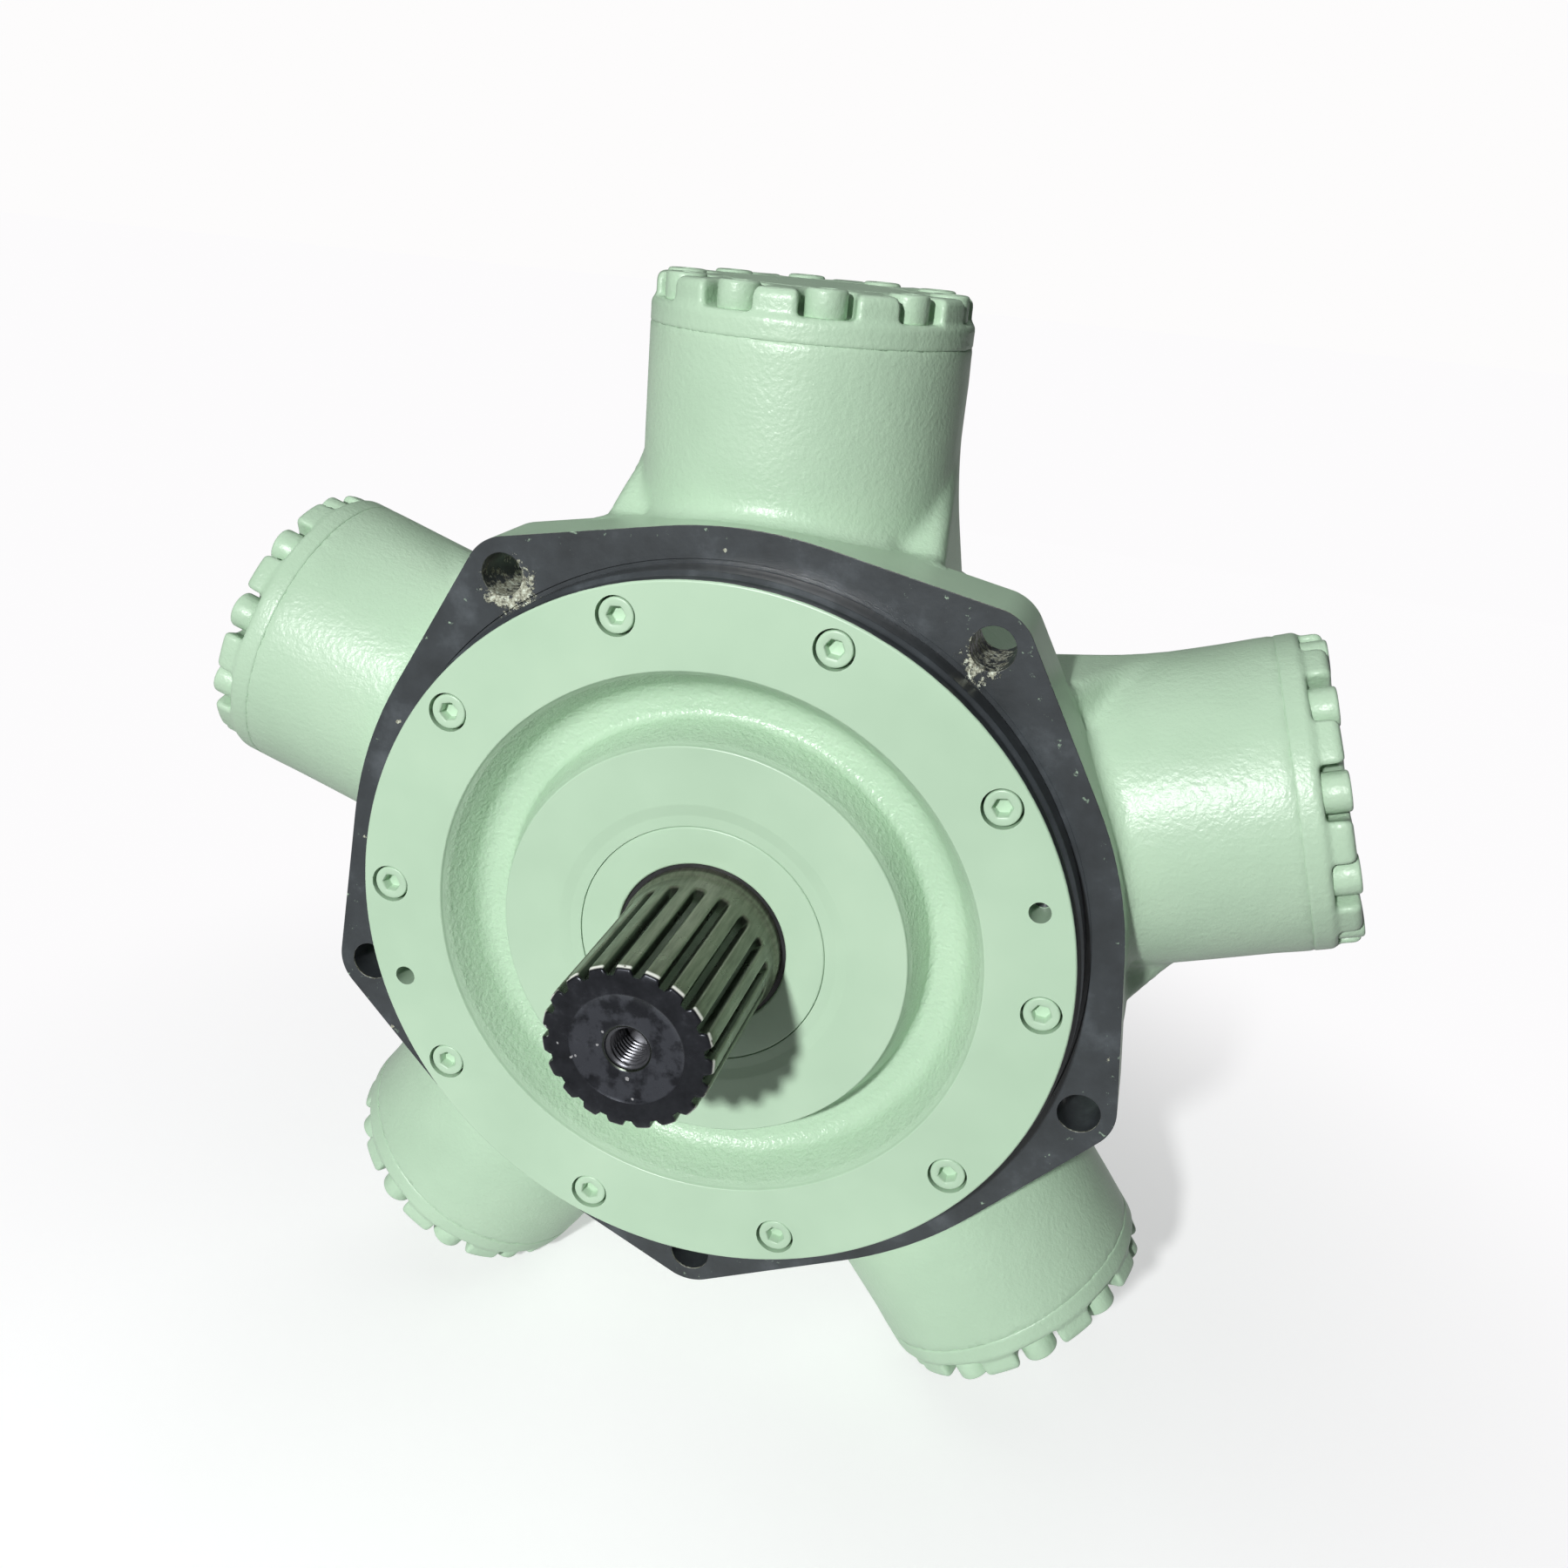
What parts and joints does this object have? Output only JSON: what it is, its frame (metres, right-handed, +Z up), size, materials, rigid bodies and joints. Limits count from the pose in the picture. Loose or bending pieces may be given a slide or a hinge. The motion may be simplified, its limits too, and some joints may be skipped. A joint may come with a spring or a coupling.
{
  "type": "radial piston hydraulic motor",
  "caption": "Star-shaped hydraulic motor: radial cylinders with bolted caps round a cast drum, a spigoted front cover, a cornered mounting flange and a splined output shaft.",
  "frame": {"origin": "centre of the mounting flange's front face, on the shaft axis", "axes": "-Y out along the output shaft, +Z up through the first cylinder, +X to the right seen from the shaft end"},
  "size_m": [0.6504, 0.435, 0.6185],
  "materials": {
    "green_paint": "gloss pale green enamel on cast iron",
    "painted_bolts": "gloss pale green enamel on steel",
    "screws": "thin pale green paint on steel",
    "seals": "satin black nitrile rubber",
    "shaft_steel": "oiled dark steel",
    "ring_bronze": "satin bronze",
    "bearing_steel": "ground steel"
  },
  "bodies": {
    "motor_body": {"casing": "green_paint", "front_cover": "green_paint", "front_cover_screws": "screws", "front_cover_o_ring": "seals", "seal_retainer": "green_paint", "shaft_seal": "seals", "front_bearing_outer_race": "bearing_steel", "rear_bearing_outer_race": "bearing_steel", "distributor_housing": "green_paint", "distributor_screws": "screws", "distributor_o_ring": "seals", "rear_cover": "green_paint", "rear_cover_screws": "screws", "drain_plug": "screws", "cylinder_cap_1": "green_paint", "cylinder_cap_2": "green_paint", "cylinder_cap_3": "green_paint", "cylinder_cap_4": "green_paint", "cylinder_cap_5": "green_paint", "cap_bolts_1": "painted_bolts", "cap_bolts_2": "painted_bolts", "cap_bolts_3": "painted_bolts", "cap_bolts_4": "painted_bolts", "cap_bolts_5": "painted_bolts", "cap_o_ring_1": "seals", "cap_o_ring_2": "seals", "cap_o_ring_3": "seals", "cap_o_ring_4": "seals", "cap_o_ring_5": "seals"},
    "output_shaft": {"crankshaft": "shaft_steel", "front_bearing_inner_race": "bearing_steel", "rear_bearing_inner_race": "bearing_steel"},
    "front_rollers": {"front_bearing_rollers": "bearing_steel"},
    "rear_rollers": {"rear_bearing_rollers": "bearing_steel"},
    "needle_rollers": {"eccentric_needles": "bearing_steel"},
    "crank_ring": {"five_sided_ring": "bearing_steel", "slipper_retainers": "bearing_steel"},
    "drive_pin": {"valve_drive_pin": "bearing_steel"},
    "valve_rotor": {"distributor_rotor": "bearing_steel", "rotor_seal_rings": "ring_bronze"},
    "piston_assembly_1": {"piston_1": "bearing_steel", "piston_rings_1": "ring_bronze", "slipper_rod_1": "bearing_steel"},
    "piston_assembly_2": {"piston_2": "bearing_steel", "piston_rings_2": "ring_bronze", "slipper_rod_2": "bearing_steel"},
    "piston_assembly_3": {"piston_3": "bearing_steel", "piston_rings_3": "ring_bronze", "slipper_rod_3": "bearing_steel"},
    "piston_assembly_4": {"piston_4": "bearing_steel", "piston_rings_4": "ring_bronze", "slipper_rod_4": "bearing_steel"},
    "piston_assembly_5": {"piston_5": "bearing_steel", "piston_rings_5": "ring_bronze", "slipper_rod_5": "bearing_steel"}
  },
  "joints": [
    {"name": "shaft_spin", "type": "hinge", "parent": "motor_body", "child": "output_shaft", "pos_m": [0, 0, 0], "axis": [0, -1, 0], "continuous": true},
    {"name": "front_rollers_spin", "type": "hinge", "parent": "motor_body", "child": "front_rollers", "pos_m": [0, 0.028, 0], "axis": [0, -1, 0], "continuous": true},
    {"name": "rear_rollers_spin", "type": "hinge", "parent": "motor_body", "child": "rear_rollers", "pos_m": [0, 0.172, 0], "axis": [0, -1, 0], "continuous": true},
    {"name": "needles_spin", "type": "hinge", "parent": "output_shaft", "child": "needle_rollers", "pos_m": [0, 0.1, -0.02], "axis": [0, -1, 0], "continuous": true},
    {"name": "ring_orbit", "type": "hinge", "parent": "output_shaft", "child": "crank_ring", "pos_m": [0, 0.1, -0.02], "axis": [0, -1, 0], "continuous": true},
    {"name": "drive_pin_turn", "type": "hinge", "parent": "output_shaft", "child": "drive_pin", "pos_m": [0, 0.1, -0.01], "axis": [0, -1, 0], "continuous": true},
    {"name": "valve_spin", "type": "hinge", "parent": "motor_body", "child": "valve_rotor", "pos_m": [0, 0.24, 0], "axis": [0, -1, 0], "continuous": true},
    {"name": "piston_1_stroke", "type": "hinge", "parent": "drive_pin", "child": "piston_assembly_1", "pos_m": [0, 0.1, -0.02], "axis": [0, -1, 0], "continuous": true},
    {"name": "piston_2_stroke", "type": "hinge", "parent": "drive_pin", "child": "piston_assembly_2", "pos_m": [-0.00588, 0.1, -0.00191], "axis": [0, -1, 0], "continuous": true},
    {"name": "piston_3_stroke", "type": "hinge", "parent": "drive_pin", "child": "piston_assembly_3", "pos_m": [0.00951, 0.1, -0.01309], "axis": [0, -1, 0], "continuous": true},
    {"name": "piston_4_stroke", "type": "hinge", "parent": "drive_pin", "child": "piston_assembly_4", "pos_m": [-0.00951, 0.1, -0.01309], "axis": [0, -1, 0], "continuous": true},
    {"name": "piston_5_stroke", "type": "hinge", "parent": "drive_pin", "child": "piston_assembly_5", "pos_m": [0.00588, 0.1, -0.00191], "axis": [0, -1, 0], "continuous": true}
  ],
  "couplings": [
    {"joint": "front_rollers_spin", "follows": "shaft_spin", "ratio": 0.42857},
    {"joint": "rear_rollers_spin", "follows": "shaft_spin", "ratio": 0.42857},
    {"joint": "needles_spin", "follows": "shaft_spin", "ratio": -0.53043},
    {"joint": "ring_orbit", "follows": "shaft_spin", "ratio": -1},
    {"joint": "drive_pin_turn", "follows": "shaft_spin", "ratio": -2},
    {"joint": "valve_spin", "follows": "shaft_spin", "ratio": 1},
    {"joint": "piston_1_stroke", "follows": "shaft_spin", "ratio": 1},
    {"joint": "piston_2_stroke", "follows": "shaft_spin", "ratio": 1},
    {"joint": "piston_3_stroke", "follows": "shaft_spin", "ratio": 1},
    {"joint": "piston_4_stroke", "follows": "shaft_spin", "ratio": 1},
    {"joint": "piston_5_stroke", "follows": "shaft_spin", "ratio": 1}
  ]
}
